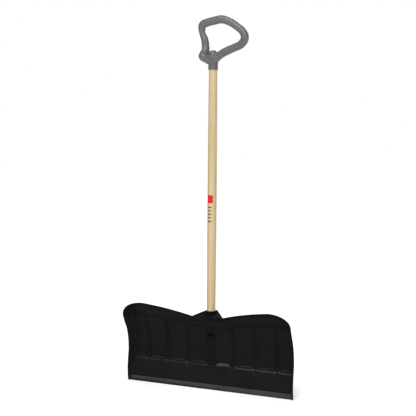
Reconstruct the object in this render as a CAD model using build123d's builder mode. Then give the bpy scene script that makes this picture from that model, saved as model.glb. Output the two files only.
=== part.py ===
"""Snow shovel (pusher): moulded blade, wear strip, turned wooden shaft and loop grip.

Millimetres. +Z runs up along the shaft, +X along the blade's width, and the hollow
front of the blade faces -Y. The pieces are drawn from the middle of the wear strip's
bottom face, and written with the origin in the grip's loop, where a hook holds it.
"""
import os
from math import cos, radians, sin

from build123d import *

# ---- driving dimensions ----
BLADE_WIDTH = 610.0          # over the side walls
SHEET = 4.2                  # blade sheet, measured front to back
AXIS_Y = 19.0                # shaft axis, behind the wear strip
HOOK_Z = 1241.2              # underside of the loop's top bar, above the shaft axis
OVERLAP = 1.0                # how far what stands on the sheet runs into it

# Front face of the blade from the side, as (y, z): straight foot, sloping toe and ledge,
# then two arcs, each by its start, middle and end.
FOOT = [(-2.1, 2.0), (-2.1, 20.0), (19.2, 76.0), (24.8, 82.0)]
CURVE = [(24.8, 82.0), (28.5, 110.0), (25.5, 150.0), (1.0, 222.0), (-50.0, 290.0)]

# Blade from the front, right half, as (x, z): gull-shaped top edge and rounded corner.
VEE = (0.0, 239.0)
SHOULDER = (58.0, 254.0)
SLOPE = (130.0, 273.0)
PEAK = (231.0, 290.0)
CORNER_Z = 243.0
RIM_WIDTH = 5.0
RIM_DEPTH = 8.0

# Side walls: they lean outward, and their front edge is three arcs, as (y, z).
WALL = 4.0
WALL_FOOT = 3.0              # middle of the wall's front edge, in from the blade's side
WALL_REACH = 60.0            # depth drawn, before the sheet cuts it
SHEET_HALF = BLADE_WIDTH / 2 - 2 * WALL
WALL_LEAN = 16.0             # degrees from square to the blade
WALL_EDGE = [(-12.0, 0.0), (-16.0, 46.0), (-9.0, 104.0), (-11.3, 150.0), (-25.0, 195.0),
             (-53.0, 245.0), (-61.3, 292.0)]

# Raised panels between the grooves of the blade.
PANEL_RISE = 3.0
FIRST_GROOVE = 84.0
GROOVE_PITCH = 77.0
GROOVE = 16.0
PANEL_FOOT = 90.0
PANEL_TOP = (212.0, 226.0, 236.0, 238.0)
PANEL_ROUND = 12.0
PANEL_END = BLADE_WIDTH / 2 - 4 * WALL
ARCH_RISE = 5.0
ARCH_FOOT = 83.0
ARCH_TOP = 88.0
ARCH_TAPER = 10.0

# Middle rib, with the shaft socket above it.
SPINE_HALF = 14.0
SPINE_GAP = 3.0
SPINE_RISE = 7.0
SPINE_TOP = 178.0
POCKET = (21.0, 10.0)
POCKET_Z = 187.0
POCKET_DEPTH = 9.0
SOCKET_R = 18.0
SOCKET_TOP = 271.0
SOCKET_FOOT = 190.0

# Tent-shaped boss between the socket and the blade.
TENT_FOOT = 176.0
TENT_FOOT_HALF = 42.0
TENT_SHOULDER = (66.0, 252.0)
TENT_FRONT = -24.0
TENT_BACK = 34.0
TENT_WALL = 4.0
TENT_RIBS = (-52.0, -26.0, 26.0, 52.0)
TENT_RIB = 3.0

# Shaft.
SHAFT_END_R = 14.5
SHAFT_MIDDLE_R = 15.5
TIP_R = 6.0
TIP_Z = 198.0
TAPER_Z = 244.0
SHAFT_SHOULDER = 1091.0
TENON_R = 12.4
TENON_TOP = 1131.0
FIT_GAP = 0.1

# Grip.
GRIP_COLLAR_R = 17.0
GRIP_DOME_Z = 1138.0
TUBE_R = 12.8

# Wear strip and its rivets.
STRIP_THICK = 7.0
STRIP_HEIGHT = 18.0
STRIP_BEVEL = 1.2
STRIP_HALF = 299.0
RIVET_X = (-250.0, -150.0, -50.0, 50.0, 150.0, 250.0)
RIVET_Z = 10.0
RIVET_R = 2.0
RIVET_HEAD_R = 4.0
RIVET_HEAD = 1.6
RIVET_ROUND = 1.2

# Screws that hold the shaft.
SCREW_R = 2.1
SCREW_HEAD_R = 4.5
SCREW_HEAD = 2.8
SCREW_HEAD_ROUND = 1.6
SCREW_POINT = 1.2
SCREW_LENGTH = 22.0
SCREW_SINK = 0.6             # the head's seat, below the top of the round wall
SOCKET_SCREW_Z = 236.0
GRIP_SCREW_Z = 1109.0
RECESS_WIDTH = 1.1
RECESS_LENGTH = 5.0
RECESS_DEPTH = 1.4

FAR = 200.0                  # reaches past every face of the blade
SHAFT_PLANE = Plane.XZ.offset(-AXIS_Y)
SHAFT_AXIS = Axis((0, AXIS_Y, 0), (0, 0, 1))


def blade_band(ahead, behind):
    """The blade's side section between its front face moved forward and moved back."""
    with BuildSketch(Plane.YZ) as section:
        with BuildLine():
            for shift in (-ahead, behind):
                Polyline([(y + shift, z) for y, z in FOOT])
                moved = [(y + shift, z) for y, z in CURVE]
                ThreePointArc(*moved[:3])
                ThreePointArc(*moved[2:])
            for y, z in (FOOT[0], CURVE[-1]):
                Line((y - ahead, z), (y + behind, z))
        make_face()
    return section.sketch


def blade_outline(inset):
    """The blade's front outline, with its top and side edges moved in by the inset."""
    half = BLADE_WIDTH / 2 - inset
    vee, shoulder, slope, peak = [(x, z - inset) for x, z in (VEE, SHOULDER, SLOPE, PEAK)]
    with BuildSketch(Plane.XZ) as outline:
        with BuildLine():
            Line(vee, shoulder)
            ThreePointArc(shoulder, slope, peak)
            EllipticalCenterArc((PEAK[0], CORNER_Z), half - PEAK[0], peak[1] - CORNER_Z,
                                start_angle=0, arc_size=90)
            Polyline((half, CORNER_Z), (half, 0), (0, 0), vee)
        make_face()
        mirror(about=Plane.YZ)
    return outline.sketch


def panel_spans():
    """The inner edge, outer edge and top of each panel, from the middle to the right."""
    for count, top in enumerate(PANEL_TOP):
        groove = FIRST_GROOVE + count * GROOVE_PITCH
        inner = groove - GROOVE_PITCH + GROOVE / 2 if count else SPINE_HALF + SPINE_GAP
        yield inner, min(groove - GROOVE / 2, PANEL_END), top


# ---- blade: one moulding, built up from its parts ----
with BuildPart() as sheet:
    extrude(blade_band(0, SHEET), amount=SHEET_HALF, both=True)
    extrude(blade_outline(0), amount=FAR, both=True, mode=Mode.INTERSECT)

with BuildPart() as rim:
    extrude(blade_band(RIM_DEPTH, OVERLAP), amount=BLADE_WIDTH / 2, both=True)
    extrude(blade_outline(0), amount=FAR, both=True, mode=Mode.INTERSECT)
    extrude(blade_outline(RIM_WIDTH), amount=FAR, both=True, mode=Mode.SUBTRACT)

with BuildPart() as panels:
    extrude(blade_band(PANEL_RISE, OVERLAP), amount=SHEET_HALF, both=True)
    with BuildSketch(Plane.XZ):
        for inner, outer, top in panel_spans():
            for side in (-1, 1):
                with Locations((side * (inner + outer) / 2, (PANEL_FOOT + top) / 2)):
                    RectangleRounded(outer - inner, top - PANEL_FOOT, PANEL_ROUND)
    extrude(amount=FAR, both=True, mode=Mode.INTERSECT)

with BuildPart() as arches:
    extrude(blade_band(ARCH_RISE, OVERLAP), amount=SHEET_HALF, both=True)
    with BuildSketch(Plane.XZ):
        for inner, outer, top in panel_spans():
            for side in (-1, 1):
                with BuildLine():
                    Polyline((side * inner, ARCH_FOOT), (side * (inner + ARCH_TAPER), ARCH_TOP),
                             (side * (outer - ARCH_TAPER), ARCH_TOP), (side * outer, ARCH_FOOT),
                             close=True)
                make_face()
    extrude(amount=FAR, both=True, mode=Mode.INTERSECT)

with BuildPart() as spine:
    extrude(blade_band(SPINE_RISE, OVERLAP), amount=SPINE_HALF, both=True)
    with BuildSketch(Plane.XZ):
        with Locations((0, (ARCH_FOOT + SPINE_TOP) / 2)):
            RectangleRounded(2 * SPINE_HALF, SPINE_TOP - ARCH_FOOT, PANEL_ROUND)
    extrude(amount=FAR, both=True, mode=Mode.INTERSECT)

with BuildPart() as walls:
    lean = radians(WALL_LEAN)
    start = WALL_EDGE[0][0]
    for side in (-1, 1):
        leaning = Plane(origin=(side * (BLADE_WIDTH / 2 - WALL_FOOT), start, 0),
                        x_dir=(-side * sin(lean), cos(lean), 0),
                        z_dir=(cos(lean), side * sin(lean), 0))
        with BuildSketch(leaning):
            with BuildLine():
                edge = [((y - start) / cos(lean), z) for y, z in WALL_EDGE]
                for first in (0, 2, 4):
                    ThreePointArc(*edge[first:first + 3])
                Polyline(edge[-1], (WALL_REACH, edge[-1][1]), (WALL_REACH, 0), edge[0])
            make_face()
        extrude(amount=WALL / 2, both=True)
    extrude(blade_outline(0), amount=FAR, both=True, mode=Mode.INTERSECT)
    extrude(blade_band(FAR, SHEET), amount=BLADE_WIDTH, both=True, mode=Mode.INTERSECT)
    Box(2 * STRIP_HALF, STRIP_THICK, 2 * STRIP_HEIGHT, mode=Mode.SUBTRACT)

with BuildPart() as tent:
    for wall_gap, mode in ((0, Mode.ADD), (TENT_WALL, Mode.SUBTRACT)):
        foot = TENT_FOOT - 2 * wall_gap
        with BuildSketch(Plane.XZ.offset(-TENT_FRONT)) as tent_front:
            with BuildLine():
                Polyline((0, VEE[1] - wall_gap),
                         (TENT_SHOULDER[0] - wall_gap, TENT_SHOULDER[1] - wall_gap),
                         (TENT_FOOT_HALF - wall_gap, foot), (wall_gap - TENT_FOOT_HALF, foot),
                         (wall_gap - TENT_SHOULDER[0], TENT_SHOULDER[1] - wall_gap), close=True)
            make_face()
        with BuildSketch(Plane.XZ.offset(-TENT_BACK)) as tent_back:
            with BuildLine():
                Polyline((0, SOCKET_TOP - wall_gap), (SOCKET_R - wall_gap, SOCKET_TOP - wall_gap),
                         (SOCKET_R - wall_gap, foot), (wall_gap - SOCKET_R, foot),
                         (wall_gap - SOCKET_R, SOCKET_TOP - wall_gap), close=True)
            make_face()
        loft([tent_front.sketch, tent_back.sketch], ruled=True, mode=mode)
    extrude(blade_band(0, FAR), amount=FAR, both=True, mode=Mode.INTERSECT)

with BuildPart() as tent_ribs:
    for turn in TENT_RIBS:
        with BuildSketch(Plane.XY.offset(TENT_FOOT)):
            with Locations(Location((0, AXIS_Y, 0), turn)):
                with Locations((0, -FAR / 2)):
                    Rectangle(TENT_RIB, FAR)
        extrude(amount=SOCKET_TOP - TENT_FOOT)
    with BuildSketch(Plane.XZ):
        with BuildLine():
            Polyline((0, VEE[1]), TENT_SHOULDER, (TENT_FOOT_HALF, TENT_FOOT),
                     (-TENT_FOOT_HALF, TENT_FOOT), (-TENT_SHOULDER[0], TENT_SHOULDER[1]), close=True)
        make_face()
    extrude(amount=FAR, both=True, mode=Mode.INTERSECT)
    extrude(blade_band(0, FAR), amount=FAR, both=True, mode=Mode.INTERSECT)

with BuildPart() as socket:
    with BuildSketch(Plane.XY.offset(SOCKET_FOOT)):
        with Locations((0, AXIS_Y)):
            Circle(SOCKET_R)
    extrude(amount=SOCKET_TOP - SOCKET_FOOT)
    extrude(blade_band(SPINE_RISE, FAR), amount=FAR, both=True, mode=Mode.INTERSECT)


def shaft_section(gap):
    """Half section of the shaft about its axis, grown by the gap."""
    with BuildSketch(SHAFT_PLANE) as section:
        with BuildLine():
            Polyline((0, TIP_Z - gap), (TIP_R + gap, TIP_Z - gap), (SHAFT_END_R + gap, TAPER_Z),
                     (SHAFT_END_R + gap, SOCKET_TOP))
            ThreePointArc((SHAFT_END_R + gap, SOCKET_TOP),
                          (SHAFT_MIDDLE_R + gap, (SOCKET_TOP + SHAFT_SHOULDER) / 2),
                          (SHAFT_END_R + gap, SHAFT_SHOULDER))
            Polyline((SHAFT_END_R + gap, SHAFT_SHOULDER), (TENON_R + gap, SHAFT_SHOULDER),
                     (TENON_R + gap, TENON_TOP + gap), (0, TENON_TOP + gap), (0, TIP_Z - gap))
        make_face()
    return section.sketch


def screw_seat(wall_radius):
    """How far back the underside of a screw's head lies on a round wall about the shaft."""
    return AXIS_Y + wall_radius - SCREW_SINK


def screw_hole(seat, level):
    """What a screw takes out of a wall: its shank, and a flat seat for its head."""
    with BuildPart() as hole:
        with BuildSketch(Plane.XZ.offset(-seat)):
            with Locations((0, level)):
                Circle(SCREW_R)
        extrude(amount=SCREW_LENGTH)
        with BuildSketch(Plane.XZ.offset(-seat)):
            with Locations((0, level)):
                Circle(SCREW_HEAD_R + FIT_GAP)
        extrude(amount=-SCREW_HEAD)
    return hole.part


SOCKET_HOLE = screw_hole(screw_seat(SOCKET_R), SOCKET_SCREW_Z)
GRIP_HOLE = screw_hole(screw_seat(GRIP_COLLAR_R), GRIP_SCREW_Z)

with BuildPart() as blade:
    for moulding in (sheet, rim, panels, arches, spine, walls, tent, tent_ribs, socket):
        add(moulding.part)
    revolve(shaft_section(FIT_GAP), axis=SHAFT_AXIS, mode=Mode.SUBTRACT)
    with Locations((0, AXIS_Y - SPINE_RISE, POCKET_Z)):
        Box(POCKET[0], POCKET_DEPTH, POCKET[1], mode=Mode.SUBTRACT)
    with Locations(*[Location((x, 0, RIVET_Z), (90, 0, 0)) for x in RIVET_X]):
        Cylinder(RIVET_R, FAR, mode=Mode.SUBTRACT)
    add(SOCKET_HOLE, mode=Mode.SUBTRACT)
blade.part.label = "blade"

# ---- wear strip: a channel that holds the blade's bottom edge ----
with BuildPart() as wear_strip:
    with BuildSketch(Plane.YZ):
        with Locations((0, STRIP_HEIGHT / 2)):
            Rectangle(STRIP_THICK, STRIP_HEIGHT)
    extrude(amount=STRIP_HALF, both=True)
    chamfer(wear_strip.edges().filter_by(Axis.X).group_by(Axis.Z)[-1], STRIP_BEVEL)
    extrude(blade_band(0, SHEET), amount=BLADE_WIDTH, both=True, mode=Mode.SUBTRACT)
    with Locations(*[Location((x, 0, RIVET_Z), (90, 0, 0)) for x in RIVET_X]):
        Cylinder(RIVET_R, FAR, mode=Mode.SUBTRACT)
wear_strip.part.label = "wear_strip"

# ---- rivets through the strip: flush in front, button heads behind ----
with BuildPart() as wear_strip_rivets:
    for x in RIVET_X:
        with BuildSketch(Plane.XZ.offset(STRIP_THICK / 2)):
            with Locations((x, RIVET_Z)):
                Circle(RIVET_R)
        extrude(amount=-STRIP_THICK)
        with BuildSketch(Plane.XZ.offset(-STRIP_THICK / 2)):
            with Locations((x, RIVET_Z)):
                Circle(RIVET_HEAD_R)
        extrude(amount=-RIVET_HEAD)
    rims = wear_strip_rivets.faces().sort_by(Axis.Y)[-len(RIVET_X):].edges()
    fillet(rims, RIVET_ROUND)
wear_strip_rivets.part.label = "wear_strip_rivets"

# ---- shaft: turned wood, a little fuller in the middle ----
with BuildPart() as shaft:
    revolve(shaft_section(0), axis=SHAFT_AXIS)
    for hole in (SOCKET_HOLE, GRIP_HOLE):
        add(hole, mode=Mode.SUBTRACT)
shaft.part.label = "shaft"

# ---- grip: a collar with a domed top, and an open loop for the hand ----
# Centre line of the loop: right arm, far corner, top bar, near leg, and its forward elbow.
LOOP = [(0.0, AXIS_Y, 1120.0), (45.0, AXIS_Y, 1151.0), (118.0, AXIS_Y, 1181.0),
        (104.0, AXIS_Y, 1217.0), (50.0, AXIS_Y, 1254.0), (24.0, AXIS_Y, 1260.0),
        (-48.0, AXIS_Y, 1243.0), (-29.0, AXIS_Y, 1172.0), (-29.0, AXIS_Y - 2.0, 1150.0),
        (-38.0, AXIS_Y - 26.0, 1130.0), (0.0, AXIS_Y, 1110.0)]
LOOP_BENDS = [80.0, 18.0, 60.0, 60.0, 40.0, 14.0, 60.0, 14.0, 14.0]

with BuildPart() as grip:
    with BuildLine() as loop_path:
        FilletPolyline(*LOOP, radius=LOOP_BENDS)
    with BuildSketch(Plane(origin=loop_path.line @ 0, z_dir=loop_path.line % 0)):
        Circle(TUBE_R)
    sweep(path=loop_path.line)
    with BuildSketch(SHAFT_PLANE):
        with BuildLine():
            Polyline((0, GRIP_DOME_Z + GRIP_COLLAR_R), (0, SHAFT_SHOULDER),
                     (GRIP_COLLAR_R, SHAFT_SHOULDER), (GRIP_COLLAR_R, GRIP_DOME_Z))
            CenterArc((0, GRIP_DOME_Z), GRIP_COLLAR_R, 0, 90)
        make_face()
    revolve(axis=SHAFT_AXIS)
    with Locations((0, AXIS_Y, (SHAFT_SHOULDER + TENON_TOP + FIT_GAP) / 2)):
        Cylinder(TENON_R + FIT_GAP, TENON_TOP + FIT_GAP - SHAFT_SHOULDER, mode=Mode.SUBTRACT)
    add(GRIP_HOLE, mode=Mode.SUBTRACT)
grip.part.label = "grip"

# ---- screws: pan heads with a cross recess, one through each end of the shaft ----
screws = []
for label, wall_radius, level in (("socket_screw", SOCKET_R, SOCKET_SCREW_Z),
                                  ("grip_screw", GRIP_COLLAR_R, GRIP_SCREW_Z)):
    seat = screw_seat(wall_radius)
    with BuildPart() as screw:
        with BuildSketch(Plane.XZ.offset(-seat)):
            with Locations((0, level)):
                Circle(SCREW_R)
        extrude(amount=SCREW_LENGTH)
        chamfer(screw.edges().group_by(Axis.Y)[0], SCREW_POINT)
        with BuildSketch(Plane.XZ.offset(-seat)):
            with Locations((0, level)):
                Circle(SCREW_HEAD_R)
        extrude(amount=-SCREW_HEAD)
        fillet(screw.edges().group_by(Axis.Y)[-1], SCREW_HEAD_ROUND)
        with BuildSketch(Plane.XZ.offset(-seat - SCREW_HEAD)):
            with Locations((0, level)):
                for turn in (0, 90):
                    Rectangle(RECESS_LENGTH, RECESS_WIDTH, rotation=turn)
        extrude(amount=RECESS_DEPTH, mode=Mode.SUBTRACT)
    screw.part.label = label
    screws.append(screw)

# ---- every piece moves to the frame whose origin is the hook's place, and is written ----
os.makedirs("parts", exist_ok=True)
for piece in (blade, wear_strip, wear_strip_rivets, shaft, grip, *screws):
    piece.part.position -= (0, AXIS_Y, HOOK_Z)
    export_step(piece.part, f"parts/{piece.part.label}.step")
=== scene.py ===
"""Looks of the snow shovel: its meshes, materials, light and camera, built around the CAD frame."""

import math

import bpy
import numpy as np
from mathutils import Matrix, Vector


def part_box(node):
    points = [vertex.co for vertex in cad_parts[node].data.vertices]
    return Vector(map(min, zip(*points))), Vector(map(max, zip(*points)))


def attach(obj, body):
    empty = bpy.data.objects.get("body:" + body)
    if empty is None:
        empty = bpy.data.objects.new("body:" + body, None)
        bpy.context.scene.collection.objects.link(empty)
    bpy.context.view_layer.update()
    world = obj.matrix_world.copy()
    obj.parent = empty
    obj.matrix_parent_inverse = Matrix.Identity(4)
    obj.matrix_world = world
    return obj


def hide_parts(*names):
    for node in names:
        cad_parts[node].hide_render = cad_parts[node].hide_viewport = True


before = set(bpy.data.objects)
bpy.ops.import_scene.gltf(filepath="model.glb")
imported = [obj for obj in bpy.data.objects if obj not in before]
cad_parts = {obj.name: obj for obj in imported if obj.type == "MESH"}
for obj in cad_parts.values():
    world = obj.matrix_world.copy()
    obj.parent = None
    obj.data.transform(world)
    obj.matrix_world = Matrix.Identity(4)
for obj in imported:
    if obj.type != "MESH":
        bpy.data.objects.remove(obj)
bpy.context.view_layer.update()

# Shapes are drawn in millimetres from the middle of the wear strip's bottom face, as in the
# CAD: +X along the blade's width, +Z up the shaft, and the blade's hollow front facing -Y.
MM = 0.001
strip_low, strip_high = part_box("wear_strip")
DRAWN_FROM = Vector((0, (strip_low.y + strip_high.y) / 2, strip_low.z))
AXIS_Y = -DRAWN_FROM.y / MM
HALF_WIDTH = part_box("blade")[1].x / MM
LEAST_R = 0.01               # radius of a turned piece's ends, which are capped

# ---- blade ----
FOOT = [(-2.1, 2.0), (-2.1, 20.0), (19.2, 76.0), (23.6, 79.0), (24.8, 82.0)]
CURVE = [(24.8, 82.0), (28.5, 110.0), (25.5, 150.0), (1.0, 222.0), (-50.0, 290.0)]
WALL_EDGE = [(-12.0, 0.0), (-16.0, 46.0), (-9.0, 104.0), (-11.3, 150.0), (-25.0, 195.0),
             (-53.0, 245.0), (-61.3, 292.0)]
VEE = (0.0, 239.0)
SHOULDER = (58.0, 254.0)
SLOPE = (130.0, 273.0)
PEAK = (231.0, 290.0)
CORNER_Z = 243.0
CORNER_SHAPE = 2.15          # 2 is an ellipse; more is fuller

SHEET = 3.4                  # true thickness of the moulding
SHEET_SOFT = 0.7             # rounding of the section's corners
WALL_SOFT = 6.0
WALL_LEAN = math.radians(16)
WALL_BLEND = 4.0             # how far a wall's inner face runs out onto the sheet
WALL_CURVE = 1.4
RIM_DEPTH = 8.0
RIM_ROUND = 0.9
RIM_ANGLE = 60               # degrees; sharper edges are rounded
CORNER_HOLD = 4.6            # how far round the corner a wall keeps its depth

PANEL_RISE = 3.2
FIRST_GROOVE = 84.0
GROOVE_PITCH = 77.0
GROOVE = 15.0
PANEL_FOOT = 84.0
PANEL_TOP = (212.0, 226.0, 236.0, 238.0)
PANEL_ROUND = 12.0
PANEL_SOFT = 5.5             # width of a panel's sloping edge
PANEL_INSET = 16.0           # from the blade's side to the outermost panel
PAD_RISE = 4.4
PAD_FOOT = 80.0
PAD_TOP = 87.0
PAD_TAPER = 9.0
PAD_SOFT = 2.0
# Painted highlights on the ledge, the pads' outlines and the first pad right of the spine, standing in for
# light on their upward faces.
LEDGE_Z = 78.5
HIGHLIGHT_LINE = 3.0
RIGHT_HIGHLIGHT = 1.0             # how much wider the painted highlight line is on the right
OUTLINE_HIGHLIGHT = 0.22
LEDGE_PAST_PAD = 4.0
LIT_PAD_INSET = 4.5
LIT_PAD_FOOT = 77.5
LIT_PAD_TOP = 89.0
NOTCH_DEPTH = 3.0            # where a groove runs out through the ledge
NOTCH_Z = 78.0
NOTCH_FALL = 4.0
SPINE_HALF = 14.0
SPINE_GAP = 3.0
SPINE_RISE = 6.0
SPINE_TOP = 178.0
SPINE_SOFT = 8.0
POCKET_HALF = (10.5, 5.0)
POCKET_Z = 187.0
POCKET_DEPTH = 5.0
POCKET_SOFT = 5.0

# ---- socket behind the blade, and the tent-shaped boss that carries it ----
SOCKET_R = 18.0
SOCKET_TOP = 271.0
SOCKET_FOOT = 190.0
SOCKET_RISE = 7.0
SOCKET_SOFT = 8.0
SOCKET_PROFILE = [(0, SOCKET_FOOT), (9, SOCKET_FOOT + 1), (14.5, SOCKET_FOOT + 5),
                  (17.3, SOCKET_FOOT + 12), (SOCKET_R, SOCKET_FOOT + 20), (SOCKET_R, SOCKET_TOP - 1.4),
                  (SOCKET_R - 0.5, SOCKET_TOP - 0.4), (SOCKET_R - 1.4, SOCKET_TOP)]
MOUTH_FLARE = 0.4            # the bore's last step outwards
MOUTH_Z = (270.2, 270.9)     # where that step starts and ends
TENT_SHOULDER = (66.0, 252.0)
TENT_FRONT = -24.0
TENT_BACK = 34.0
TENT_FOOT = 176.0
TENT_FOOT_HALF = 42.0
TENT_WALL = 3.5
TENT_SOFT = 0.03             # rounding of its corners, as a share of a side
TENT_CLEAR = 0.8             # how far behind the sheet's face it starts
TENT_COLUMNS = 141
TENT_ROWS = 26
TENT_SAMPLES = 400
RIB_TURNS = (-52.0, -26.0, 26.0, 52.0)
RIB = 3.0
RIB_ROOT = 2.0               # how far a rib starts inside the socket's wall
RIB_REACH = 54.0
RIB_LEAST = 0.5              # height at which it runs out
RIB_COLUMNS = 120
RIB_ROWS = 8

# ---- shaft ----
SHAFT_GAP = 0.4
SHAFT_PROFILE = [(0, 198), (5.2, 198), (6.2, 199.5), (10.4, 221), (14.3, 242), (14.6, 246),
                 (15.0, 268), (15.4, 380), (15.5, 560), (15.5, 675), (15.3, 790), (14.8, 970),
                 (14.3, 1086), (14.0, 1090.4), (13.4, 1091), (12.4, 1091), (12.4, 1131), (0, 1131)]
SHAFT_SIDES = 96

# ---- grip: collar, domed top and loop. Each point of the loop is x, forward, z and radius ----
COLLAR_FOOT = 1091.0
COLLAR_PROFILE = [(0, 1093), (17.0, 1093), (16.4, 1102), (16.4, 1114), (16.8, 1132),
                  (16.3, 1141), (14.0, 1149), (9.0, 1154.2), (0, 1156.2)]
LIP_R = 17.0
LIP_HEIGHT = 5.5
LOOP = [(4, 0, 1121, 12.9), (26, 0, 1140, 13.6), (52, 0, 1152.8, 13.8), (76, 0, 1162, 13.2),
        (100, 0, 1173, 13.8), (111.5, 0, 1193, 13.8), (104, 0, 1213, 13.2), (85, 0, 1229.5, 12.8),
        (57, 0, 1247.3, 13.2), (27, 0, 1256.5, 13.9), (6, 0, 1253.5, 13.6), (-24, 0, 1247.5, 13.8),
        (-38.5, 0, 1241, 13.8), (-41.5, 0, 1227, 12.4), (-39.5, 0, 1213, 10.6), (-31.5, 0, 1193, 12.7),
        (-28, 0, 1172, 13.2), (-26.5, 3, 1157, 13.6), (-29.5, 14, 1141, 14.4), (-28, 22, 1133, 14.8),
        (-17, 18, 1125.5, 13.8), (-5, 8, 1117, 13.4)]
VOXEL = 1.25
EASE_FACTOR = 0.6
EASE_ROUNDS = 9
BORE_R = 12.6
BORE_FOOT = 1076.0
BORE_TOP = 1131.4
LIP_ROUND = 0.7
LIP_TAPER = 1.0
ROUND_SIDES = 72
LIP_SIDES = 96

# ---- wear strip ----
STRIP_ROUND = 0.5
STRIP_ANGLE = 30             # degrees; sharper edges are rounded


def placed(points):
    """Drawn points in metres, in the CAD's frame."""
    return np.asarray(points, float) * MM + np.array(DRAWN_FROM)


def circle_y(points, z):
    """y on the circle through three (y, z) points, on the side of the middle one."""
    (y0, z0), (y1, z1), (y2, z2) = points
    chords = np.array([[y1 - y0, z1 - z0], [y2 - y1, z2 - z1]])
    sums = np.array([y1**2 - y0**2 + z1**2 - z0**2, y2**2 - y1**2 + z2**2 - z1**2]) / 2
    centre_y, centre_z = np.linalg.solve(chords, sums)
    radius = math.hypot(y0 - centre_y, z0 - centre_z)
    side = math.copysign(1, y1 - centre_y)
    return centre_y + side * np.sqrt(np.maximum(radius**2 - (z - centre_z)**2, 0))


def softened(values, step, width):
    """Evenly sampled values with their corners rounded over the width."""
    reach = int(4 * width / step)
    kernel = np.exp(-0.5 * (np.arange(-reach, reach + 1) * step / width)**2)
    before = 2 * values[0] - values[reach:0:-1]
    after = 2 * values[-1] - values[-2:-reach - 2:-1]
    return np.convolve(np.concatenate([before, values, after]), kernel / kernel.sum(), "valid")


# Heights at which the blade's section is sampled.
LEVEL_STEP = 0.5
LEVEL_TOP = 300.0
LEVELS = np.arange(0, LEVEL_TOP + LEVEL_STEP, LEVEL_STEP)


def sheet_levels():
    """y of the blade's front face at each level."""
    foot_y, foot_z = zip(*FOOT)
    y = np.interp(LEVELS, foot_z, foot_y)
    y = np.where(LEVELS > CURVE[0][1], circle_y(CURVE[:3], LEVELS), y)
    y = np.where(LEVELS > CURVE[2][1], circle_y(CURVE[2:], LEVELS), y)
    return softened(y, LEVEL_STEP, SHEET_SOFT)


def wall_levels():
    """y of the side walls' front edge at each level."""
    y = circle_y(WALL_EDGE[:3], LEVELS)
    for first in (2, 4):
        arc = WALL_EDGE[first:first + 3]
        y = np.where(LEVELS > arc[0][1], circle_y(arc, LEVELS), y)
    return softened(y, LEVEL_STEP, WALL_SOFT)


SHEET_Y = sheet_levels()
WALL_Y = wall_levels()


def sheet_y(z):
    return np.interp(z, LEVELS, SHEET_Y)


def top_z(x):
    """Height of the blade's top edge: straight vee, arc to the peak, rounded corner."""
    x = np.abs(x)
    vee = VEE[1] + (SHOULDER[1] - VEE[1]) * x / SHOULDER[0]
    rise = circle_y([point[::-1] for point in (SHOULDER, SLOPE, PEAK)], x)
    across = np.clip((x - PEAK[0]) / (HALF_WIDTH - PEAK[0]), 0, 1)
    corner = CORNER_Z + (PEAK[1] - CORNER_Z) * (1 - across**CORNER_SHAPE)**(1 / CORNER_SHAPE)
    return np.where(x < SHOULDER[0], vee, np.where(x < PEAK[0], rise, corner))


def box_field(x, z, centre, half, radius):
    """Distance outside a rounded rectangle, negative inside."""
    across = np.abs(x - centre[0]) - half[0] + radius
    up = np.abs(z - centre[1]) - half[1] + radius
    outside = np.hypot(np.maximum(across, 0), np.maximum(up, 0))
    return outside + np.minimum(np.maximum(across, up), 0) - radius


def raised(field, soft):
    """1 inside a shape and 0 outside, with a smooth step of the soft width at its edge."""
    t = np.clip(0.5 - field / soft, 0, 1)
    return t * t * (3 - 2 * t)


def panel_spans():
    """Inner edge, outer edge and top of each raised panel on the right half."""
    for count, top in enumerate(PANEL_TOP):
        groove = FIRST_GROOVE + count * GROOVE_PITCH
        inner = groove - GROOVE_PITCH + GROOVE / 2 if count else SPINE_HALF + SPINE_GAP
        yield inner, min(groove - GROOVE / 2, HALF_WIDTH - PANEL_INSET), top


def panel_relief(across, z):
    """Rise of the panels and of the pads under them."""
    rise = np.zeros_like(across)
    for inner, outer, top in panel_spans():
        middle, half = (inner + outer) / 2, (outer - inner) / 2
        panel = box_field(across, z, (middle, (PANEL_FOOT + top) / 2),
                          (half, (top - PANEL_FOOT) / 2), PANEL_ROUND)
        rise = np.maximum(rise, PANEL_RISE * raised(panel, PANEL_SOFT))
        slant = np.interp(z, (PAD_FOOT, PAD_TOP), (0, PAD_TAPER))
        pad = np.maximum(np.abs(across - middle) - half + slant, z - PAD_TOP)
        rise = np.maximum(rise, PAD_RISE * raised(pad, PAD_SOFT) * (z > PAD_FOOT))
    return rise


def notch_relief(across, z):
    """Depth of the dip where each groove meets the ledge."""
    dip = np.zeros_like(across)
    for count in range(len(PANEL_TOP) - 1):
        groove = FIRST_GROOVE + count * GROOVE_PITCH
        field = np.hypot((across - groove) / GROOVE, (z - NOTCH_Z) / GROOVE)
        dip = np.maximum(dip, NOTCH_DEPTH * np.exp(-NOTCH_FALL * field**2))
    return dip


def socket_bulge(x, z):
    """How far the socket swells the sheet forward."""
    front = AXIS_Y - np.sqrt(np.maximum(SOCKET_R**2 - x**2, 0))
    swell = np.clip(sheet_y(z) - front, 0, SOCKET_RISE)
    return swell * raised(SOCKET_FOOT - z, SOCKET_SOFT) * (np.abs(x) < SOCKET_R)


def relief(x, z):
    """How far the blade's front face stands forward of its plain sheet."""
    spine = box_field(x, z, (0, (PAD_FOOT + SPINE_TOP) / 2),
                      (SPINE_HALF, (SPINE_TOP - PAD_FOOT) / 2), PANEL_ROUND)
    spine_rise = SPINE_RISE * raised(spine, SPINE_SOFT)
    rise = np.maximum(panel_relief(np.abs(x), z), np.maximum(spine_rise, socket_bulge(x, z)))
    pocket = box_field(x, z, (0, POCKET_Z), POCKET_HALF, POCKET_HALF[1] / 2)
    return rise - notch_relief(np.abs(x), z) - POCKET_DEPTH * raised(pocket, POCKET_SOFT)


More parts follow.
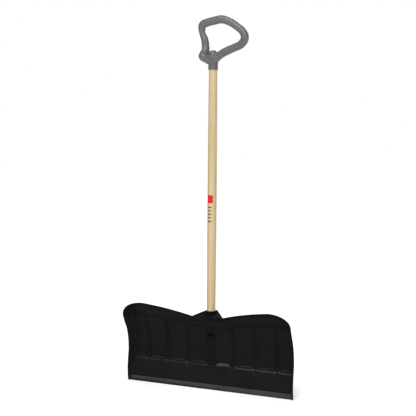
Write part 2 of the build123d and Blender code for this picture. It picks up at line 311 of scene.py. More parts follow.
# Points along the blade's edge, and the columns and rows of its mesh, which are closer at the
# sides and over the ledge. A band of rows is its start, its end and its count.
SIDE_POINTS = 260
CORNER_POINTS = 200
TOP_POINTS = 400
SIDE_BAND = 18.0
SIDE_COLUMNS = 14
FIELD_COLUMNS = 114
ROW_BANDS = [(FOOT[0][1], 58.0, 16), (60.0, 90.0, 36), (92.5, 200.0, 42)]
TOP_ROWS = 36
TOP_CROWDING = 1.25


def edge_path():
    """Points up the blade's right side and along its top to the middle, with the rim's depth."""
    lip = SHEET * math.cos(WALL_LEAN)
    side_z = np.linspace(0, CORNER_Z, SIDE_POINTS)
    turn = np.linspace(0, math.pi / 2, CORNER_POINTS)[1:]
    top_x = np.linspace(PEAK[0], lip, TOP_POINTS)[1:]
    corner_x = PEAK[0] + (HALF_WIDTH - PEAK[0]) * np.maximum(np.cos(turn), 0)**(2 / CORNER_SHAPE)
    corner_z = CORNER_Z + (PEAK[1] - CORNER_Z) * np.sin(turn)**(2 / CORNER_SHAPE)
    x = np.concatenate([np.full_like(side_z, HALF_WIDTH), corner_x, top_x]) - lip
    z = np.concatenate([side_z, corner_z, top_z(top_x)])
    round_corner = np.concatenate([np.zeros_like(side_z), turn / turn[-1], np.ones_like(top_x)])
    depth = sheet_y(z) - np.interp(z, LEVELS, WALL_Y)
    return x, z, depth + (RIM_DEPTH - depth) * round_corner**CORNER_HOLD


def blade_grid():
    """The blade's front face as arrays of x, y and z: rows up, columns across."""
    reach = HALF_WIDTH - SHEET * math.cos(WALL_LEAN)
    half = np.concatenate([np.linspace(0, reach - SIDE_BAND, FIELD_COLUMNS),
                           np.linspace(reach - SIDE_BAND, reach, SIDE_COLUMNS)[1:]])
    columns = np.concatenate([-half[:0:-1], half])
    rows = np.concatenate([np.linspace(*band) for band in ROW_BANDS])
    upper = 1 - (1 - np.linspace(0, 1, TOP_ROWS)[1:])**TOP_CROWDING
    edge = top_z(columns * HALF_WIDTH / reach)
    z = np.concatenate([np.repeat(rows[:, None], len(columns), 1),
                        rows[-1] + (edge[None] - rows[-1]) * upper[:, None]])
    x = np.repeat(columns[None], len(z), 0)
    path_x, path_z, path_depth = edge_path()
    lift = np.zeros_like(x)
    for row in range(len(z)):
        gap = np.hypot(np.abs(x[row])[:, None] - path_x, z[row][:, None] - path_z)
        depth = path_depth[gap.argmin(1)]
        near = 1 - gap.min(1) / (WALL_BLEND + depth * math.tan(WALL_LEAN))
        lift[row] = depth * np.clip(near, 0, 1)**WALL_CURVE
    y = sheet_y(z) - relief(x, z) * np.clip(1 - lift / RIM_DEPTH, 0, 1) - lift
    return np.stack([x, y, z], -1)


def grid_mesh(name, points, wrap=False, caps=False):
    """A mesh of quads from rows and columns of drawn points, wrapped round if asked."""
    rows, cols, _ = points.shape
    index = np.arange(rows * cols).reshape(rows, cols)
    if wrap:
        index = np.concatenate([index, index[:, :1]], 1)
    faces = np.stack([index[:-1, :-1], index[:-1, 1:], index[1:, 1:], index[1:, :-1]], -1)
    faces = faces.reshape(-1, 4).tolist()
    if caps:
        faces += [index[0, :-1][::-1].tolist(), index[-1, :-1].tolist()]
    mesh = bpy.data.meshes.new(name)
    mesh.from_pydata(placed(points.reshape(-1, 3)).tolist(), [], faces)
    return shown(name, mesh)


def shown(name, data):
    piece = bpy.data.objects.new(name, data)
    bpy.context.scene.collection.objects.link(piece)
    return piece


def apply_modifiers(piece):
    """Replaces the piece's mesh with what its modifiers make of it."""
    graph = bpy.context.evaluated_depsgraph_get()
    mesh = bpy.data.meshes.new_from_object(piece.evaluated_get(graph))
    piece.modifiers.clear()
    piece.data = mesh


def round_edges(piece, width, degrees):
    """Bevels the edges that are sharper than the angle."""
    edges = piece.modifiers.new("edges", "BEVEL")
    edges.width = width * MM
    edges.segments = 2
    edges.limit_method = "ANGLE"
    edges.angle_limit = math.radians(degrees)


def thicken(piece, thickness, offset=-1):
    """Gives a sheet its thickness and rounds its rim."""
    shell = piece.modifiers.new("thickness", "SOLIDIFY")
    shell.thickness = thickness * MM
    shell.offset = offset
    round_edges(piece, RIM_ROUND, RIM_ANGLE)
    apply_modifiers(piece)


def join(pieces, name):
    """One object from several."""
    bpy.ops.object.select_all(action="DESELECT")
    for piece in pieces:
        piece.select_set(True)
    bpy.context.view_layer.objects.active = pieces[0]
    bpy.ops.object.join()
    pieces[0].select_set(False)
    pieces[0].name = name
    return pieces[0]


def shade(piece, degrees=40):
    """Smooth shading, with edges sharper than the angle kept crisp."""
    piece.data.shade_smooth()
    piece.data.set_sharp_from_angle(angle=math.radians(degrees))


def stands_for(piece, node):
    """The piece replaces a CAD node, which is hidden."""
    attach(piece, "root")
    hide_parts(node)


def lathe(name, profile, sides, squeeze=None):
    """A turned solid about the shaft's axis, from (radius, z) points."""
    radius, z = np.array(profile, float).T
    turn = np.linspace(0, 2 * math.pi, sides, endpoint=False)
    radius = np.maximum(radius, LEAST_R)
    x = radius[:, None] * np.sin(turn)
    y = AXIS_Y - radius[:, None] * np.cos(turn)
    points = np.stack([x, y, np.repeat(z[:, None], sides, 1)], -1)
    if squeeze:
        points = squeeze(points)
    return grid_mesh(name, points, wrap=True, caps=True)


def dense(profile, step):
    """The profile with points added so that none are further apart than the step."""
    out = [profile[0]]
    for point in profile[1:]:
        count = max(1, math.ceil(math.dist(out[-1], point) / step))
        start = out[-1]
        out += [tuple(np.array(start) + (np.array(point) - start) * k / count)
                for k in range(1, count + 1)]
    return out


def behind_sheet(points):
    """Holds points back so that none come through the blade's front face."""
    x, y, z = np.moveaxis(points, -1, 0)
    return np.stack([x, np.maximum(y, sheet_y(z) - socket_bulge(x, z) + SHEET / 2), z], -1)


def make_socket():
    """A closed-bottomed cup for the shaft, with a rounded mouth."""
    start, end = MOUTH_Z
    bore = [(r + SHAFT_GAP, min(z, start)) for r, z in SHAFT_PROFILE[1:7]]
    inner = [(bore[-1][0] + MOUTH_FLARE, end), *bore[::-1], (0, SHAFT_PROFILE[0][1] - SHAFT_GAP)]
    return lathe("socket", dense(SOCKET_PROFILE + inner, step=3), ROUND_SIDES, behind_sheet)


def tent_lines():
    """The boss's section at its front and at its back, as matching rows of (x, z)."""
    front = [(-TENT_FOOT_HALF, TENT_FOOT), (-TENT_SHOULDER[0], TENT_SHOULDER[1]), VEE, TENT_SHOULDER,
             (TENT_FOOT_HALF, TENT_FOOT)]
    back = [(-SOCKET_R, TENT_FOOT), (-SOCKET_R, SOCKET_TOP), (0, SOCKET_TOP), (SOCKET_R, SOCKET_TOP),
            (SOCKET_R, TENT_FOOT)]
    along = np.linspace(0, len(front) - 1, TENT_COLUMNS)
    for line in (front, back):
        x, z = np.array(line, float).T
        yield np.stack([softened(np.interp(along, range(len(line)), values), along[1], TENT_SOFT)
                        for values in (x, z)], -1)


def make_tent():
    """The boss: a ruled shell from the vee edge back to the socket, trimmed to the sheet."""
    front, back = tent_lines()
    run = np.linspace(0, 1, TENT_SAMPLES + 1)[:, None, None]
    xz = front[None] + (back - front)[None] * run
    y = TENT_FRONT + (TENT_BACK - TENT_FRONT) * run[..., 0] + 0 * xz[..., 0]
    clear = y > sheet_y(xz[..., 1]) + TENT_CLEAR
    first = clear.argmax(0)
    steps = np.linspace(0, 1, TENT_ROWS)[:, None]
    start = first[None] / TENT_SAMPLES
    rows = start + (1 - start) * steps
    x = front[:, 0] + (back - front)[:, 0] * rows
    z = front[:, 1] + (back - front)[:, 1] * rows
    points = np.stack([x, TENT_FRONT + (TENT_BACK - TENT_FRONT) * rows, z], -1)
    tent = grid_mesh("tent", points)
    thicken(tent, TENT_WALL)
    return tent


def roof_z(x, y):
    """Height of the boss's roof over a point."""
    run = (y - TENT_FRONT) / (TENT_BACK - TENT_FRONT)
    across = np.clip(np.abs(x) / (TENT_SHOULDER[0] * (1 - run) + SOCKET_R * run), 0, 1)
    return (VEE[1] + (TENT_SHOULDER[1] - VEE[1]) * across) * (1 - run) + SOCKET_TOP * run


def make_rib(turn):
    """A gusset under the roof, from the socket out to the sheet, at a turn from straight ahead."""
    lean = math.radians(turn)
    out = np.linspace(SOCKET_R - RIB_ROOT, RIB_REACH, RIB_COLUMNS)
    x, y = out * math.sin(lean), AXIS_Y - out * math.cos(lean)
    top = roof_z(x, y) - TENT_WALL / 2
    rising = LEVELS > CURVE[1][1]
    bottom = np.interp(-y, -SHEET_Y[rising], LEVELS[rising]) + SHEET / 3
    inside = (top > bottom + RIB_LEAST) & (y > TENT_FRONT)
    last = len(inside) if inside.all() else inside.argmin()
    share = np.linspace(0, 1, RIB_ROWS)[:, None]
    z = bottom[:last] + (top - bottom)[:last] * share
    points = np.stack([x[:last] + 0 * z, y[:last] + 0 * z, z], -1)
    rib = grid_mesh("rib", points)
    thicken(rib, RIB, offset=0)
    return rib


def make_blade():
    shell = grid_mesh("shell", blade_grid())
    thicken(shell, SHEET)
    blade = join([shell, make_socket(), make_tent(), *map(make_rib, RIB_TURNS)], "blade_moulding")
    shade(blade)
    stands_for(blade, "blade")
    return blade


def make_shaft():
    """Turned wood, a little fuller in the middle."""
    shaft = lathe("wooden_shaft", dense(SHAFT_PROFILE, step=20), SHAFT_SIDES)
    shade(shaft, degrees=30)
    stands_for(shaft, "shaft")
    return shaft


def make_loop():
    """The grip's loop as one tube of varying thickness."""
    curve = bpy.data.curves.new("loop", "CURVE")
    curve.dimensions = "3D"
    curve.bevel_depth = MM
    curve.bevel_resolution = 8
    curve.use_fill_caps = True
    line = curve.splines.new("BEZIER")
    line.bezier_points.add(len(LOOP) - 1)
    for point, (x, forward, z, radius) in zip(line.bezier_points, LOOP):
        point.co = Vector(placed((x, AXIS_Y - forward, z)))
        point.handle_left_type = point.handle_right_type = "AUTO"
        point.radius = radius
    tube = shown("loop", curve)
    graph = bpy.context.evaluated_depsgraph_get()
    mesh = bpy.data.meshes.new_from_object(tube.evaluated_get(graph))
    bpy.data.objects.remove(tube)
    return shown("loop_tube", mesh)


def make_grip():
    """Collar, dome and loop melted into one moulding, bored for the shaft, with a lip below."""
    grip = join([lathe("collar", dense(COLLAR_PROFILE, step=2), ROUND_SIDES), make_loop()], "grip_moulding")
    melt = grip.modifiers.new("melt", "REMESH")
    melt.mode = "VOXEL"
    melt.voxel_size = VOXEL * MM
    ease = grip.modifiers.new("ease", "SMOOTH")
    ease.factor = EASE_FACTOR
    ease.iterations = EASE_ROUNDS
    apply_modifiers(grip)
    bore = lathe("bore", [(0, BORE_FOOT), (BORE_R, BORE_FOOT), (BORE_R, BORE_TOP), (0, BORE_TOP)],
                 ROUND_SIDES)
    cut = grip.modifiers.new("bore", "BOOLEAN")
    cut.operation = "DIFFERENCE"
    cut.solver = "EXACT"
    cut.object = bore
    apply_modifiers(grip)
    bpy.data.objects.remove(bore)
    top = COLLAR_FOOT + LIP_HEIGHT
    lip = lathe("lip", [(BORE_R, COLLAR_FOOT), (LIP_R - LIP_ROUND, COLLAR_FOOT),
                        (LIP_R, COLLAR_FOOT + LIP_ROUND), (LIP_R, top - LIP_TAPER),
                        (LIP_R - LIP_TAPER, top), (BORE_R, top)], LIP_SIDES)
    grip = join([grip, lip], "grip_moulding")
    shade(grip, degrees=50)
    stands_for(grip, "grip")
    return grip


def make_strip():
    """The wear strip with its edges rounded."""
    strip = shown("wear_strip_rounded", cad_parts["wear_strip"].data.copy())
    round_edges(strip, STRIP_ROUND, STRIP_ANGLE)
    apply_modifiers(strip)
    shade(strip)
    stands_for(strip, "wear_strip")
    return strip


# ---- materials ----
FRONT_FACING = -0.05         # a face looks forward when its normal's y is below this
BLADE_SHINE = 0.062
# The boss's lower shine is painted shade, standing in for the gaps between its ribs.
BOSS_SHINE = 0.012
BOSS_SLOPE = 0.7             # the boss lies behind a plane that leans with the sheet
BOSS_START = 163.8
GROOVE_SHINE = 0.6           # share of the shine left in the grooves, lowered as painted shade
GROOVE_EDGE = (-1.0, 2.0)
GROOVE_FADE = (7.0, 12.0)
GROOVE_START = 15.0          # above the pads
# Painted highlights on the boss, standing in for light caught by the edges of its ribs.
STREAK_PITCH = 0.3           # radians between the streaks on the boss
STREAK_EDGE = (0.03, 0.15)
STREAK_HIGHLIGHT = (0.12, 0.7)    # on the left and on the right
STREAK_TURN = (0.6, 0.9)
STREAK_GAP = 4.0
# Painted light on the side walls' sideways faces.
WALL_FACING = 0.6            # a face looks sideways when its normal's x is beyond this
WALL_SPAN = 22.0             # the walls lie this near the blade's sides
WALL_LIGHTENING = 0.1
# Painted shade along the strip's foot, deeper on the left.
FOOT_SLANT = 0.015
FOOT_EDGE = (6.0, 14.0)
# Painted shade down the shaft's left front.
SHAFT_R = 15.3
SIDE_SHADE_TURN = -46.0           # degrees from straight ahead
SIDE_SHADE_EDGE = (0.86, 0.98)
BLADE_DARK = (0.0043, 0.0043, 0.0045)
BLADE_LIGHT = (0.0058, 0.0058, 0.006)
# colour of the blade's painted highlights and painted light
BLADE_PAINTED_LIGHT = (0.058, 0.058, 0.058)
GRIP_DARK = (0.085, 0.085, 0.0865)
GRIP_LIGHT = (0.104, 0.104, 0.1055)
STRIP_DARK = (0.024, 0.024, 0.0255)
STRIP_LIGHT = (0.034, 0.034, 0.0355)
# colour of the painted shade along the strip's foot
STRIP_FOOT_SHADE = (0.004, 0.004, 0.0042)
WOOD_LIGHT = (0.505, 0.405, 0.243)
WOOD_DARK = (0.43, 0.333, 0.186)
WOOD_FIBRE = (0.53, 0.37, 0.19)
WOOD_PORE = (0.34, 0.21, 0.1)
# colour of the painted shade down the shaft's left front
SIDE_SHADE_COLOUR = (0.37, 0.28, 0.13)
STEEL = ((0.56, 0.56, 0.58), (0.7, 0.7, 0.72))
BLACKENED = ((0.02, 0.02, 0.021), (0.035, 0.035, 0.037))
FLOOR_WHITE = ((0.93, 0.93, 0.93), (0.95, 0.95, 0.95))
FLOOR_SIZE = 40
FLOOR_GAP = 0.0003           # metres between the floor and the strip, to keep them from flickering
GRAIN_DEPTH = 0.0002         # metres, of the finest bumps
PLASTIC_BUMP = 0.25
WOOD_BUMP = 0.18
# Noise: scale, stretch along x, y and z, and detail.
ROUND = (1, 1, 1)
MOTTLE = (14, ROUND, 5)
GLOSS = (60, ROUND, 3)
PATCHES = (25, ROUND, 4)
PATCH_EDGE = (0.55, 1.0)
BANDS = (16, (6, 6, 0.22), 4)
BAND_EDGE = (0.35, 0.65)
FIBRES = (30, (30, 30, 0.7), 4)
FIBRE_EDGE = (0.4, 0.75)
FIBRE_SHARE = 0.55
PORES = (60, (45, 45, 1.3), 2)
PORE_EDGE = (0.66, 0.74)
PORE_SHARE = 0.5
METAL_GLOSS = 900


class Paint:
    """One procedural material, built node by node."""

    def __init__(self, name, roughness=0.5, specular=0.5, metallic=0.0):
        self.material = bpy.data.materials.new(name)
        self.material.use_nodes = True
        self.tree = self.material.node_tree
        self.shader = self.tree.nodes["Principled BSDF"]
        self.shader.inputs["Roughness"].default_value = roughness
        self.shader.inputs["Specular IOR Level"].default_value = specular
        self.shader.inputs["Metallic"].default_value = metallic
        coordinates = self.tree.nodes.new("ShaderNodeTexCoord")
        self.place = coordinates.outputs["Object"]
        self.normal = coordinates.outputs["Normal"]

    def node(self, kind, **settings):
        node = self.tree.nodes.new("ShaderNode" + kind)
        for key, value in settings.items():
            setattr(node, key, value)
        return node

    def link(self, source, target):
        self.tree.links.new(source, target)

    def noise(self, scale, stretch=ROUND, detail=3.0, roughness=0.55):
        """Noise over the object, finer along the axes that are stretched more."""
        mapping = self.node("Mapping")
        mapping.inputs["Scale"].default_value = stretch
        self.link(self.place, mapping.inputs["Vector"])
        noise = self.node("TexNoise")
        noise.inputs["Scale"].default_value = scale
        noise.inputs["Detail"].default_value = detail
        noise.inputs["Roughness"].default_value = roughness
        self.link(mapping.outputs["Vector"], noise.inputs["Vector"])
        return noise.outputs["Fac"]

    def ramp(self, value, low, high, start=0.3, end=0.7):
        """Numbers from low to high as the value goes from start to end."""
        span = self.node("MapRange", interpolation_type="SMOOTHSTEP")
        for socket, number in zip(("From Min", "From Max", "To Min", "To Max"),
                                  (start, end, low, high)):
            span.inputs[socket].default_value = number
        self.link(value, span.inputs["Value"])
        return span.outputs["Result"]

    def math(self, operation, *values):
        """The result of an operation on numbers and other nodes' outputs."""
        node = self.node("Math", operation=operation)
        for socket, value in zip(node.inputs, values):
            if isinstance(value, (int, float)):
                socket.default_value = value
            else:
                self.link(value, socket)
        return node.outputs[0]

    def mix(self, factor, first, second):
        """Colour between two, each a colour or another node's output."""
        node = self.node("Mix", data_type="RGBA")
        self.link(factor, node.inputs["Factor"])
        for name, value in (("A", first), ("B", second)):
            socket = [s for s in node.inputs if s.name == name and s.type == "RGBA"][0]
            if isinstance(value, tuple):
                socket.default_value = (*value, 1)
            else:
                self.link(value, socket)
        return [s for s in node.outputs if s.type == "RGBA"][0]

    def colour(self, source):
        self.link(source, self.shader.inputs["Base Color"])

    def rough(self, source):
        self.link(source, self.shader.inputs["Roughness"])

    def bump(self, height, strength, distance):
        bump = self.node("Bump")
        bump.inputs["Strength"].default_value = strength
        bump.inputs["Distance"].default_value = distance
        self.link(height, bump.inputs["Height"])
        self.link(bump.outputs["Normal"], self.shader.inputs["Normal"])

    def dress(self, *pieces):
        for piece in pieces:
            piece.data.materials.clear()
            piece.data.materials.append(self.material)


def moulded(name, dark, light, grain, roughness, specular, painted_lighting=None, painted_lighting_colour=None):
    """Moulded plastic: faint mottling, a fine pebbled grain that breaks up the gloss, and, where a mask is
    given, light and shade painted into its colour.
    """
    paint = Paint(name, specular=specular)
    colour = paint.mix(paint.ramp(paint.noise(*MOTTLE), 0, 1), dark, light)
    # light and shade painted into the colour through the mask
    if painted_lighting:
        colour = paint.mix(painted_lighting(paint), colour, painted_lighting_colour)
    paint.colour(colour)
    paint.rough(paint.ramp(paint.noise(*GLOSS), *roughness))
    paint.bump(paint.noise(grain, detail=2), PLASTIC_BUMP, GRAIN_DEPTH)
    return paint


def drawn_place(paint):
    """x, y and z of the shaded point, in drawn millimetres."""
    parts = paint.node("SeparateXYZ")
    paint.link(paint.place, parts.inputs[0])
    return [paint.math("DIVIDE", paint.math("SUBTRACT", part, start), MM)
            for part, start in zip(parts.outputs, DRAWN_FROM)]


def faces_front(paint):
    """1 on faces that look forward."""
    parts = paint.node("SeparateXYZ")
    paint.link(paint.normal, parts.inputs[0])
    return paint.math("LESS_THAN", parts.outputs[1], FRONT_FACING)


def off_panel_side(paint, across):
    """How far out of the sides of the nearest panel, in millimetres: negative on it."""
    shifted = paint.math("WRAP", paint.math("SUBTRACT", across, FIRST_GROOVE), GROOVE_PITCH, 0.0)
    off_middle = paint.math("ABSOLUTE", paint.math("SUBTRACT", shifted, GROOVE_PITCH / 2))
    return paint.math("SUBTRACT", off_middle, (GROOVE_PITCH - GROOVE) / 2)


def ledge_painted_highlight(paint):
    """Painted highlights on the ledge, the pads' outlines and the first pad right of the spine, heavier on
    the right, none in the grooves.
    """
    x, _, z = drawn_place(paint)
    across = paint.math("ABSOLUTE", x)
    right = paint.math("GREATER_THAN", x, 0.0)
    first = paint.math("MULTIPLY", right, paint.math("LESS_THAN", x, FIRST_GROOVE))
    off_side = off_panel_side(paint, across)
    slant = paint.math("MULTIPLY", paint.math("SUBTRACT", z, PAD_FOOT), PAD_TAPER / (PAD_TOP - PAD_FOOT))
    side = paint.math("ADD", off_side, slant)
    pad = paint.math("MAXIMUM", side, paint.math("SUBTRACT", z, PAD_TOP))
    outline = paint.math("LESS_THAN", paint.math("ABSOLUTE", pad), HIGHLIGHT_LINE / 2)
    outline = paint.math("MULTIPLY", outline, paint.math("GREATER_THAN", z, PAD_FOOT))
    lit_pad = paint.math("MULTIPLY", paint.math("LESS_THAN", side, -LIT_PAD_INSET), first)
    lit_pad = paint.math("MULTIPLY", lit_pad, paint.math("GREATER_THAN", z, LIT_PAD_FOOT))
    lit_pad = paint.math("MULTIPLY", lit_pad, paint.math("LESS_THAN", z, LIT_PAD_TOP))
    on_pad = paint.math("MAXIMUM", paint.math("MULTIPLY", outline, OUTLINE_HIGHLIGHT), lit_pad)
    off_ledge = paint.math("ABSOLUTE", paint.math("SUBTRACT", z, LEDGE_Z))
    reach = paint.math("ADD", paint.math("MULTIPLY", right, RIGHT_HIGHLIGHT), HIGHLIGHT_LINE / 2)
    ledge = paint.math("MULTIPLY", paint.math("LESS_THAN", off_ledge, reach),
                       paint.math("LESS_THAN", off_side, LEDGE_PAST_PAD))
    ledge = paint.math("MULTIPLY", ledge, paint.math("SUBTRACT", 1.0, first))
    ledge_highlight = paint.math("MAXIMUM", ledge, on_pad)
    within = paint.math("MULTIPLY", paint.math("LESS_THAN", across, HALF_WIDTH - PANEL_INSET),
                        paint.math("GREATER_THAN", across, SPINE_HALF))
    patchy = paint.ramp(paint.noise(*PATCHES), *PATCH_EDGE)
    shown_highlight = paint.math("MULTIPLY", paint.math("MULTIPLY", ledge_highlight, within), patchy)
    return paint.math("MULTIPLY", shown_highlight, faces_front(paint))


def groove_painted_shade(paint):
    """Painted shade: dullness in the grooves between the panels and along their tops."""
    x, _, z = drawn_place(paint)
    across = paint.math("ABSOLUTE", x)
    top = PANEL_TOP[0]
    for count, (lower, upper) in enumerate(zip(PANEL_TOP, PANEL_TOP[1:])):
        past = paint.math("GREATER_THAN", across, FIRST_GROOVE + count * GROOVE_PITCH)
        top = paint.math("ADD", top, paint.math("MULTIPLY", past, upper - lower))
    field = paint.math("MAXIMUM", off_panel_side(paint, across), paint.math("SUBTRACT", z, top))
    dull = paint.math("MULTIPLY", paint.ramp(field, 0, 1, *GROOVE_EDGE),
                      paint.ramp(field, 1, 0, *GROOVE_FADE))
    return paint.math("MULTIPLY", dull, paint.ramp(z, 0, 1, PAD_TOP, PAD_TOP + GROOVE_START))


def on_boss(paint):
    """1 on the boss and the socket, which stand behind the sheet."""
    _, y, z = drawn_place(paint)
    behind = paint.math("ADD", y, paint.math("MULTIPLY", z, BOSS_SLOPE))
    return paint.math("GREATER_THAN", behind, BOSS_START)


def boss_painted_highlights(paint):
    """Painted highlights: faint light streaks that fan out from the shaft over the boss, standing in for
    light on rib edges, stronger on the right.
    """
    x, y, _ = drawn_place(paint)
    ahead = paint.math("SUBTRACT", AXIS_Y, y)
    angle = paint.math("ARCTAN2", x, ahead)
    turn = paint.math("FRACT", paint.math("DIVIDE", angle, STREAK_PITCH))
    line = paint.ramp(paint.math("ABSOLUTE", paint.math("SUBTRACT", turn, 0.5)), 1, 0, *STREAK_EDGE)
    strength = paint.ramp(angle, *STREAK_HIGHLIGHT, *STREAK_TURN)
    distance = paint.math("SQRT", paint.math("ADD", paint.math("MULTIPLY", x, x),
                                             paint.math("MULTIPLY", ahead, ahead)))
    clear = paint.math("GREATER_THAN", distance, SOCKET_R + STREAK_GAP)
    shown_line = paint.math("MULTIPLY", paint.math("MULTIPLY", line, strength), clear)
    return paint.math("MULTIPLY", shown_line, faces_front(paint))


def wall_painted_light(paint):
    """Painted light: a faint lightening all over the side walls' sideways faces."""
    across = paint.math("ABSOLUTE", drawn_place(paint)[0])
    parts = paint.node("SeparateXYZ")
    paint.link(paint.normal, parts.inputs[0])
    sideways = paint.math("GREATER_THAN", paint.math("ABSOLUTE", parts.outputs[0]), WALL_FACING)
    outer = paint.math("GREATER_THAN", across, HALF_WIDTH - WALL_SPAN)
    return paint.math("MULTIPLY", paint.math("MULTIPLY", sideways, outer), WALL_LIGHTENING)


def blade_painted_light(paint):
    """Painted highlights on the ledge and in streaks on the boss, and painted light on the side walls; the
    boss is otherwise duller than the sheet, its shine lowered as painted shade, and so are the grooves.
    """
    boss = on_boss(paint)
    # Lowered shine on the boss and in the grooves is painted shade.
    shine = paint.ramp(boss, BLADE_SHINE, BOSS_SHINE, 0, 1)
    unshaded = paint.ramp(groove_painted_shade(paint), 1, GROOVE_SHINE, 0, 1)
    paint.link(paint.math("MULTIPLY", shine, unshaded), paint.shader.inputs["Specular IOR Level"])
    streaks = paint.math("MULTIPLY", boss, boss_painted_highlights(paint))
    return paint.math("MAXIMUM", paint.math("MAXIMUM", ledge_painted_highlight(paint), streaks), wall_painted_light(paint))


def strip_foot_painted_shade(paint):
    """Painted shade: the strip's lower part, darkened, with more of it on the left."""
    x, _, z = drawn_place(paint)
    from_left = paint.math("MULTIPLY", paint.math("ADD", x, HALF_WIDTH), FOOT_SLANT)
    return paint.ramp(paint.math("ADD", z, from_left), 1, 0, *FOOT_EDGE)


def left_front_painted_shade(paint):
    """Painted shade: a darker streak down the shaft's left front."""
    x, y, _ = drawn_place(paint)
    turn = math.radians(SIDE_SHADE_TURN)
    sideways = paint.math("MULTIPLY", x, math.sin(turn) / SHAFT_R)
    forward = paint.math("MULTIPLY", paint.math("SUBTRACT", AXIS_Y, y), math.cos(turn) / SHAFT_R)
    return paint.ramp(paint.math("ADD", sideways, forward), 0, 1, *SIDE_SHADE_EDGE)


def make_wood():
    """Pale varnished wood with its grain along the shaft, a painted shade down its left front, and a plain
    printed mark.
    """
    paint = Paint("shaft_wood", specular=0.25)
    bands = paint.noise(*BANDS)
    fibres = paint.noise(*FIBRES)
    pores = paint.noise(*PORES)
    colour = paint.mix(paint.ramp(bands, 0, 1, *BAND_EDGE), WOOD_LIGHT, WOOD_DARK)
    # painted shade down the shaft's left front
    colour = paint.mix(left_front_painted_shade(paint), colour, SIDE_SHADE_COLOUR)
    fine = paint.mix(paint.ramp(fibres, 0, FIBRE_SHARE, *FIBRE_EDGE), colour, WOOD_FIBRE)
    grained = paint.mix(paint.ramp(pores, 0, PORE_SHARE, *PORE_EDGE), fine, WOOD_PORE)
    paint.colour(paint.mix(print_mask(paint, BLOCK), paint.mix(bars_mask(paint), grained, BAR_INK),
                           BLOCK_INK))
    paint.rough(paint.ramp(fibres, 0.36, 0.5))
    paint.bump(fibres, WOOD_BUMP, GRAIN_DEPTH)
    return paint


# The printed mark: a plain block and a ladder of bars under it, as low, high and how far round.
BLOCK = (642.0, 669.0, -70.0, 31.0)
BLOCK_INK = (0.56, 0.004, 0.012)
BAR_INK = (0.06, 0.05, 0.045)
TOP_BAR = 626.0
BAR_PITCH = 12.0
BAR_HEIGHT = 4.0
BAR_TURNS = [(-52.0, 16.0), (-44.0, 8.0)] * 2 + [(-52.0, 16.0)]
BARS = [(TOP_BAR - count * BAR_PITCH, TOP_BAR - count * BAR_PITCH + BAR_HEIGHT, *turns)
        for count, turns in enumerate(BAR_TURNS)]


def print_mask(paint, area):
    """1 within a printed area, given by two heights and two turns round the shaft."""
    low, high, left, right = area
    x, y, z = drawn_place(paint)
    turn = paint.math("ARCTAN2", x, paint.math("SUBTRACT", AXIS_Y, y))
    off_turn = paint.math("ABSOLUTE", paint.math("SUBTRACT", turn, math.radians((left + right) / 2)))
    off_height = paint.math("ABSOLUTE", paint.math("SUBTRACT", z, (low + high) / 2))
    in_turn = paint.math("LESS_THAN", off_turn, math.radians((right - left) / 2))
    in_height = paint.math("LESS_THAN", off_height, (high - low) / 2)
    return paint.math("MULTIPLY", in_turn, in_height)


def bars_mask(paint):
    mask = print_mask(paint, BARS[0])
    for bar in BARS[1:]:
        mask = paint.math("MAXIMUM", mask, print_mask(paint, bar))
    return mask


def metal(name, colours, mottle, roughness, **finish):
    """Metal with a faint mottling and an uneven gloss."""
    paint = Paint(name, **finish)
    paint.colour(paint.mix(paint.ramp(paint.noise(mottle), 0, 1), *colours))
    paint.rough(paint.ramp(paint.noise(METAL_GLOSS), *roughness))
    return paint


def make_floor():
    bpy.ops.mesh.primitive_plane_add(size=FLOOR_SIZE, location=(0, 0, DRAWN_FROM.z - FLOOR_GAP))
    floor = bpy.context.object
    floor.name = "floor"
    paint = Paint("floor_paint", roughness=0.85, specular=0.0)
    paint.colour(paint.mix(paint.ramp(paint.noise(3), 0, 1), *FLOOR_WHITE))
    paint.dress(floor)


# ---- light and camera ----
AMBIENT = 0.4
REFLECTED = 0.2
CEILING_STRENGTH = 2.5
CEILING_SPREAD = 60          # degrees, as is its lean
CEILING_LEAN = 32
# Area lights: name, place and target from the drawing's origin, size in metres, and watts.
AREA_LIGHTS = [("key", (2.6, -2.2, 1.4), (0, 0, 0.6), (1.2, 2.0), 14),
               ("fill", (-1.8, -2.8, 1.4), (0, 0, 0.6), (1.4, 2.0), 8),
               ("overhead", (0.4, -2.2, 2.4), (0, 0, 0.1), (1.2, 0.8), 16),
               ("back", (0.0, 2.8, 2.0), (0, 0, 0.6), (2.0, 1.6), 30)]
CAMERA_TURN = 21.68          # degrees to the right of straight ahead
CAMERA_PITCH = 4.64
CAMERA_ROLL = 0.0079         # radians
CAMERA_DISTANCE = 2.8006
CAMERA_TARGET = (-0.0020, -0.0130, 0.6269)
CAMERA_LENS = 71.88
CAMERA_SENSOR = 36


def area_light(name, place, target, size, power):
    light = bpy.data.lights.new(name, "AREA")
    light.shape = "RECTANGLE"
    light.size, light.size_y = size
    light.energy = power
    lamp = shown(name, light)
    lamp.location = DRAWN_FROM + Vector(place)
    lamp.rotation_euler = (Vector(target) - Vector(place)).to_track_quat("-Z", "Y").to_euler()


def make_world():
    """A white studio: white to the eye, softer as a light, and dim in reflections."""
    world = bpy.data.worlds.new("studio")
    world.use_nodes = True
    tree = world.node_tree
    background = tree.nodes["Background"]
    background.inputs["Color"].default_value = (1, 1, 1, 1)
    ray = tree.nodes.new("ShaderNodeLightPath")
    strength = AMBIENT
    for kind, seen in (("Is Glossy Ray", REFLECTED), ("Is Camera Ray", 1.0)):
        choice = tree.nodes.new("ShaderNodeMix")
        tree.links.new(ray.outputs[kind], choice.inputs["Factor"])
        if isinstance(strength, float):
            choice.inputs["A"].default_value = strength
        else:
            tree.links.new(strength, choice.inputs["A"])
        choice.inputs["B"].default_value = seen
        strength = choice.outputs["Result"]
    tree.links.new(strength, background.inputs["Strength"])
    bpy.context.scene.world = world


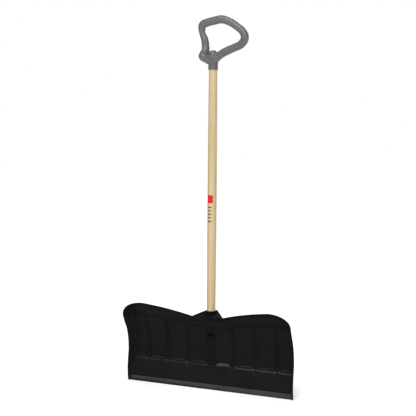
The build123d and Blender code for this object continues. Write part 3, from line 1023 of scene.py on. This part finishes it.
def ceiling_light():
    """Even soft light from above and in front, the same all over the floor."""
    light = bpy.data.lights.new("ceiling", "SUN")
    light.energy = CEILING_STRENGTH
    light.angle = math.radians(CEILING_SPREAD)
    shown("ceiling", light).rotation_euler = (math.radians(CEILING_LEAN), 0, 0)


def make_lights():
    make_world()
    ceiling_light()
    for light in AREA_LIGHTS:
        area_light(*light)
    bpy.context.scene.view_settings.view_transform = "Standard"


def make_camera():
    turn, pitch = math.radians(CAMERA_TURN), math.radians(CAMERA_PITCH)
    target = DRAWN_FROM + Vector(CAMERA_TARGET)
    away = Vector((math.sin(turn) * math.cos(pitch), -math.cos(turn) * math.cos(pitch), math.sin(pitch)))
    camera = shown("camera", bpy.data.cameras.new("camera"))
    camera.data.sensor_width = CAMERA_SENSOR
    camera.data.lens = CAMERA_LENS
    camera.location = target + away * CAMERA_DISTANCE
    aim = (-away).to_track_quat("-Z", "Y").to_matrix() @ Matrix.Rotation(CAMERA_ROLL, 3, "Z")
    camera.rotation_euler = aim.to_euler()
    bpy.context.scene.camera = camera


make_camera()
make_lights()
make_floor()

blade = make_blade()
shaft = make_shaft()
grip = make_grip()
strip = make_strip()

# The blade's colour carries painted highlights and painted light, and its shine painted shade.
moulded("blade_black", BLADE_DARK, BLADE_LIGHT, grain=700, roughness=(0.38, 0.5),
        specular=BLADE_SHINE, painted_lighting=blade_painted_light, painted_lighting_colour=BLADE_PAINTED_LIGHT).dress(blade)
moulded("grip_grey", GRIP_DARK, GRIP_LIGHT, grain=800, roughness=(0.3, 0.4), specular=0.5).dress(grip)
# The strip's colour carries painted shade along its foot.
moulded("strip_dark", STRIP_DARK, STRIP_LIGHT, grain=600, roughness=(0.42, 0.6), specular=0.2,
        painted_lighting=strip_foot_painted_shade, painted_lighting_colour=STRIP_FOOT_SHADE).dress(strip)
make_wood().dress(shaft)
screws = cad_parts["socket_screw"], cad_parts["grip_screw"]
metal("screw_steel", STEEL, mottle=400, roughness=(0.28, 0.45), metallic=1.0).dress(*screws)
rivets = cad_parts["wear_strip_rivets"]
metal("rivet_metal", BLACKENED, mottle=500, roughness=(0.35, 0.55), specular=0.4).dress(rivets)
